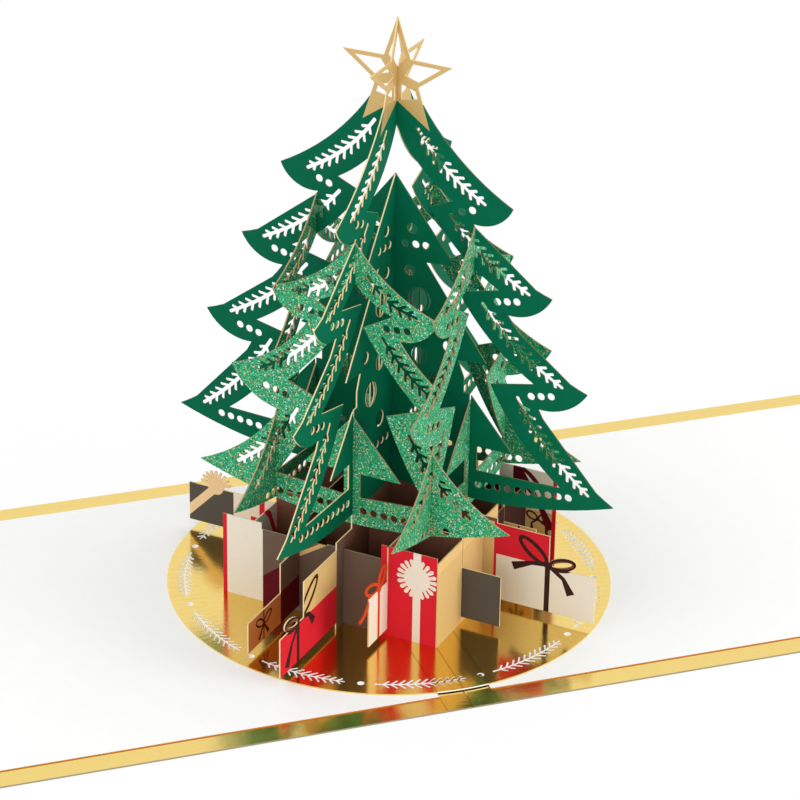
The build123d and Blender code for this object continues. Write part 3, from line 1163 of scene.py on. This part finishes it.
def white_flag(canvas):
    """White gift with a narrow ribbon and an open bow."""
    canvas.lay(canvas.u > FLAG_START, "cream")
    canvas.patch("orange", 34.6, 36.0)
    canvas.lay(canvas.spot(BOW_KNOT, radius=1.5), "orange")
    above = (canvas.u > FLAG_CLEAR) & (canvas.z > FLAG_CORNER[1])
    bow = (canvas.u > FLAG_CORNER[0]) | above
    canvas.lay(bow, "orange")
    canvas.edge = canvas.net.mix(bow, canvas.edge, canvas.inks["orange"])


def kraft_flag(canvas):
    """Dark gift in front of a kraft one that is tied with string."""
    canvas.lay(canvas.u > FLAG_START, "taupe")
    canvas.patch("burgundy", FLAG_START, 41.0, 0.0, 12.0)
    # Painted reflected light: this kraft gift is more orange, for light from the gold foil
    canvas.lay(canvas.u > 41.0, "tan")
    canvas.patch("brown", 50.7, 51.3)
    tails = (((48.2, 3.2),), ((53.8, 3.2),))
    canvas.bow((51.0, 7.2), ((46.4, 9.6), (55.6, 9.6)), tails, "brown", band=0.6, width=2.8)


def string_flag(canvas):
    """Kraft gift that is tied with string."""
    canvas.lay(canvas.u > FLAG_START, "kraft")
    canvas.patch("brown", 34.3, 34.9)
    tails = (((32.4, 9.0),), ((36.8, 9.0),))
    canvas.bow((34.6, 13.0), ((31.0, 15.2), (38.2, 15.2)), tails, "brown", band=0.6, width=2.6)


def wall_front_left(canvas):
    """White, dark and red gifts, the red one with a rosette."""
    canvas.lay(canvas.u < -37.2, "red")
    canvas.lay(canvas.u > -25.6, "taupe")
    canvas.lay(canvas.field(-25.6, -18.6) & (canvas.z < 28.9 + canvas.u * 0.8), "burgundy")
    canvas.lay(canvas.stroke((-18.6, 15.5), (-5.0, 24.5), width=1.2), "kraft")
    canvas.lay(canvas.u > 12.0, "red")
    canvas.patch("cream", 22.0, 24.4)
    canvas.rosette((23.2, 20.4), radius=6.3, petals=20, ink="cream")


def wall_front_right(canvas):
    """Kraft gift with a lid, and a dark one behind it."""
    canvas.lay(canvas.u < -9.5, "brown")
    canvas.lay(canvas.u > -9.5, "kraft")
    canvas.patch(shaded(canvas.inks["kraft"], 1.12), -9.5, 40.0, 23.6)


def wall_back_right(canvas):
    """Red, dark, white and kraft gifts."""
    canvas.lay(canvas.u < -12.0, "red")
    canvas.patch("cream", -24.4, -22.0)
    canvas.patch("brown", -12.0, 21.0)
    canvas.patch("burgundy", 25.4, 28.0)
    canvas.patch("kraft", 29.5, 39.0, 0.0, 16.0)
    tails = (((31.8, 11.6), (32.0, 8.4)), ((36.4, 11.6), (36.8, 8.4)))
    canvas.bow((33.7, 13.2), ((30.0, 15.0), (37.2, 14.6)), tails, "brown", band=0.6, width=2.8)
    tails = (((34.0, 18.6), (38.0, 10.6)),)
    canvas.bow((27.2, 29.0), ((35.6, 19.4),), tails, "burgundy", band=1.5, width=5.0)
    canvas.lay(canvas.u > 38.2, "red")


def wall_back_left(canvas):
    """White gift with a ribbon, and a kraft one."""
    canvas.lay(canvas.u < 2.0, "kraft")
    canvas.patch("burgundy", -11.0, -8.6)
    canvas.lay(canvas.stroke((23.3, 27.2), (18.4, 21.6), width=1.8), "red")
    canvas.lay(canvas.stroke((18.8, 22.4), (14.4, 12.4), width=1.8), "red")


WALL_PRINTS = {
    "gift_wall_front_left": wall_front_left,
    "gift_wall_front_right": wall_front_right,
    "gift_wall_back_right": wall_back_right,
    "gift_wall_back_left": wall_back_left,
}
STRIP_PRINTS = {
    "trunk_strip_front_left": strip_print(grey_flag, "red"),
    "trunk_strip_front_right": strip_print(white_flag, "kraft"),
    "trunk_strip_back_right": strip_print(string_flag, "cream"),
    "trunk_strip_back_left": strip_print(kraft_flag, "grey"),
}
# The sheet from the left to the right gets cut edges with painted shade
TREE_PRINTS = {
    "tree_sheet_left_right": tree_print(gifts_left_right, "shaded_edge"),
    "tree_sheet_front_back": tree_print(gifts_front_back, "edge"),
}


class CARD_OT_cover(bpy.types.Operator):
    """Finish the cover in gold foil and the liners in white paper"""

    bl_idname = "card.cover"
    bl_label = "Finish cover"

    def execute(self, context):
        paint_node("cover", gold_foil("cover_foil"))
        white = white_paper("liner_paper")
        for side in ("left_liner", "right_liner"):
            paint_node(side, white)
        return {"FINISHED"}


class CARD_OT_disc(bpy.types.Operator):
    """Cut the ring of twigs and dots through the gold disc"""

    bl_idname = "card.disc"
    bl_label = "Cut disc"

    def execute(self, context):
        radius = DISC_RADIUS - RING_INSET * MM
        step = math.tau / RING_REPEATS
        dots = []
        paths = []
        for index in range(RING_REPEATS):
            start = RING_PHASE + index * step
            dots.append(Vector((radius * math.cos(start), radius * math.sin(start))))
            path = []
            for point in range(ARC_STEPS + 1):
                share = RING_TWIG_START + (RING_TWIG_END - RING_TWIG_START) * point / ARC_STEPS
                turn = start + step * share
                path.append(Vector((radius * math.cos(turn), radius * math.sin(turn))))
            paths.append(path)
        place = disc_place()
        loops = rim_loops("base_disc", place)
        foil = gold_foil("disc_foil")
        mesh = die_cut_mesh("base_disc", place, loops, paths, dots, cutter_sizes("ring_"), foil)
        seat("gold_disc", mesh, place, "base_disc")
        return {"FINISHED"}


class CARD_OT_tree_sheets(bpy.types.Operator):
    """Cut twigs, dots and baubles through the two main sheets"""

    bl_idname = "card.tree_sheets"
    bl_label = "Cut main tree"

    def execute(self, context):
        paths = twig_paths(TREE_TWIGS)
        dots = dot_places(TREE_DOTS)
        for node, draw in TREE_PRINTS.items():
            place = sheet_place(node)
            loops = without_twigs(rim_loops(node, place), paths)
            if runs_right(node):
                loops = with_petals(loops)
            for side in (1, -1):
                for (out, up), radius in TREE_BALLS:
                    loops.append(circle((side * out, up), radius))
                for (out, up), radius in TREE_BAUBLES:
                    loops += bauble_slits((side * out, up), radius)
            paper = printed_paper(node + "_print", sheet_run(node), draw)
            mesh = die_cut_mesh(node, place, loops, paths, dots, cutter_sizes(), paper)
            seat("green_" + node, mesh, place, node)
        return {"FINISHED"}


class CARD_OT_glitter_trees(bpy.types.Operator):
    """Cut the four glitter trees and strew flakes over them"""

    bl_idname = "card.glitter_trees"
    bl_label = "Strew glitter trees"

    def execute(self, context):
        sizes = context.scene.card_sizes
        strew = glitter_tree()
        flakes = flake_foil("glitter_flakes")
        paths = twig_paths(GLITTER_TWIGS)
        dots = dot_places(GLITTER_DOTS)
        for index, corner in enumerate(CORNERS):
            node = "glitter_tree_" + corner
            place = sheet_place(node)
            loops = rim_loops(node, place)
            paper = glitter_paper(node + "_paper", sheet_run(node))
            mesh = die_cut_mesh(node, place, loops, paths, dots, cutter_sizes(), paper)
            values = {
                "Flake size": sizes.flake_size,
                "Flake density": sizes.flake_density,
                "Flake seed": sizes.flake_seed + index,
                "Foil": flakes,
            }
            glitter = grown(link(node + "_bare", mesh.copy()), strew, values)
            seat("sparkling_" + node, joined(mesh, glitter, flakes), place, node)
        return {"FINISHED"}


class CARD_OT_trunk_strips(bpy.types.Operator):
    """Print the four strips of the trunk, and cut the bow of one"""

    bl_idname = "card.trunk_strips"
    bl_label = "Print trunk"

    def execute(self, context):
        for node, draw in STRIP_PRINTS.items():
            paper = printed_paper(node + "_print", sheet_run(node), draw)
            if node != BOW_STRIP:
                paint_node(node, paper)
                continue
            place = sheet_place(node)
            loops = with_bow(rim_loops(node, place))
            mesh = die_cut_mesh(node, place, loops, [], [], cutter_sizes(), paper)
            seat("printed_" + node, mesh, place, node)
        return {"FINISHED"}


class CARD_OT_gift_walls(bpy.types.Operator):
    """Print the four walls of gifts"""

    bl_idname = "card.gift_walls"
    bl_label = "Print gifts"

    def execute(self, context):
        for node, draw in WALL_PRINTS.items():
            paint_node(node, printed_paper(node + "_print", sheet_run(node), draw, WALL_BARE_EDGE))
        return {"FINISHED"}


def camera_rays(net):
    """1 for rays that show a background: seen, mirrored or through glass."""
    rays = net.make("ShaderNodeLightPath")
    kinds = ("Is Camera Ray", "Is Glossy Ray", "Is Transmission Ray")
    seen, mirrored, through = [Wire(net, rays.outputs[kind]) for kind in kinds]
    return seen | mirrored | through


def floor_material():
    """White floor that keeps soft shadows."""
    net = PaintNet("floor_white")
    plain = net.node("ShaderNodeBsdfDiffuse", None, {"Color": FLOOR_GREY})
    glow = net.node("ShaderNodeEmission", None, {"Color": WHITE, "Strength": 1.0})
    shader = net.node("ShaderNodeMixShader", None, {0: camera_rays(net) * FLOOR_GLOW, 1: plain, 2: glow})
    net.make("ShaderNodeOutputMaterial", None, {"Surface": shader})
    return net.material


def soft_lamp(name, place, width, power):
    """Square lamp that looks at the tree."""
    lamp = bpy.data.lights.new(name, "AREA")
    lamp.size = width
    lamp.energy = power
    item = link(name, lamp)
    item.location = place
    item.rotation_euler = (Vector(LAMP_TARGET) - Vector(place)).to_track_quat("-Z", "Y").to_euler()


class CARD_OT_stage(bpy.types.Operator):
    """Set up the white floor, the lamps, the sky and the camera"""

    bl_idname = "card.stage"
    bl_label = "Set stage"

    def execute(self, context):
        reach = FLOOR_REACH
        corners = [(-reach, -reach, 0), (reach, -reach, 0), (reach, reach, 0), (-reach, reach, 0)]
        mesh = bpy.data.meshes.new("floor")
        mesh.from_pydata(corners, [], [(0, 1, 2, 3)])
        mesh.materials.append(floor_material())
        link("floor", mesh)
        for lamp in LAMPS:
            soft_lamp(*lamp)

        world = bpy.data.worlds.new("studio")
        world.use_nodes = True
        context.scene.world = world
        net = Net(world.node_tree)
        net.tree.nodes.clear()
        strength = SKY_LIGHT + camera_rays(net) * (1 - SKY_LIGHT)
        sky = net.node("ShaderNodeBackground", None, {"Color": WHITE, "Strength": strength})
        net.make("ShaderNodeOutputWorld", None, {"Surface": sky})

        data = bpy.data.cameras.new("photo_camera")
        data.lens = CAMERA_LENS
        data.sensor_width = SENSOR
        data.clip_start, data.clip_end = CAMERA_CLIP
        flat = math.cos(CAMERA_ELEVATION)
        side = Vector((math.cos(CAMERA_AZIMUTH), math.sin(CAMERA_AZIMUTH), 0))
        back = Vector((side.y * flat, -side.x * flat, math.sin(CAMERA_ELEVATION)))
        rise = back.cross(side)
        cosine, sine = math.cos(CAMERA_ROLL), math.sin(CAMERA_ROLL)
        turned = Matrix((side * cosine + rise * sine, rise * cosine - side * sine, back)).transposed()
        camera = link("photo_camera", data)
        camera.matrix_world = Matrix.Translation(CAMERA_PLACE) @ turned.to_4x4()
        context.scene.camera = camera
        context.scene.view_settings.view_transform = "Standard"
        return {"FINISHED"}


STEPS = (
    CARD_OT_cover,
    CARD_OT_disc,
    CARD_OT_tree_sheets,
    CARD_OT_glitter_trees,
    CARD_OT_trunk_strips,
    CARD_OT_gift_walls,
    CARD_OT_stage,
)


class CARD_PT_sidebar(bpy.types.Panel):
    """Sizes, colours and steps of the card"""

    bl_idname = "CARD_PT_sidebar"
    bl_label = "Pop up card"
    bl_space_type = "VIEW_3D"
    bl_region_type = "UI"
    bl_category = "Card"

    def draw(self, context):
        for group in (context.scene.card_sizes, context.scene.card_colours):
            column = self.layout.column(align=True)
            for name in group.__annotations__:
                column.prop(group, name)
        for step in STEPS:
            self.layout.operator(step.bl_idname)


CLASSES = (CardColours, CardSizes, *STEPS, CARD_PT_sidebar)


def register():
    """Makes the card's settings, steps and panel known."""
    for item in CLASSES:
        bpy.utils.register_class(item)
    bpy.types.Scene.card_sizes = PointerProperty(type=CardSizes)
    bpy.types.Scene.card_colours = PointerProperty(type=CardColours)


def unregister():
    """Takes the card's settings, steps and panel away."""
    del bpy.types.Scene.card_colours
    del bpy.types.Scene.card_sizes
    for item in reversed(CLASSES):
        bpy.utils.unregister_class(item)


def main():
    """Dresses the card."""
    register()
    for step in STEPS:
        group, name = step.bl_idname.split(".")
        getattr(getattr(bpy.ops, group), name)()


if __name__ == "__main__":
    main()
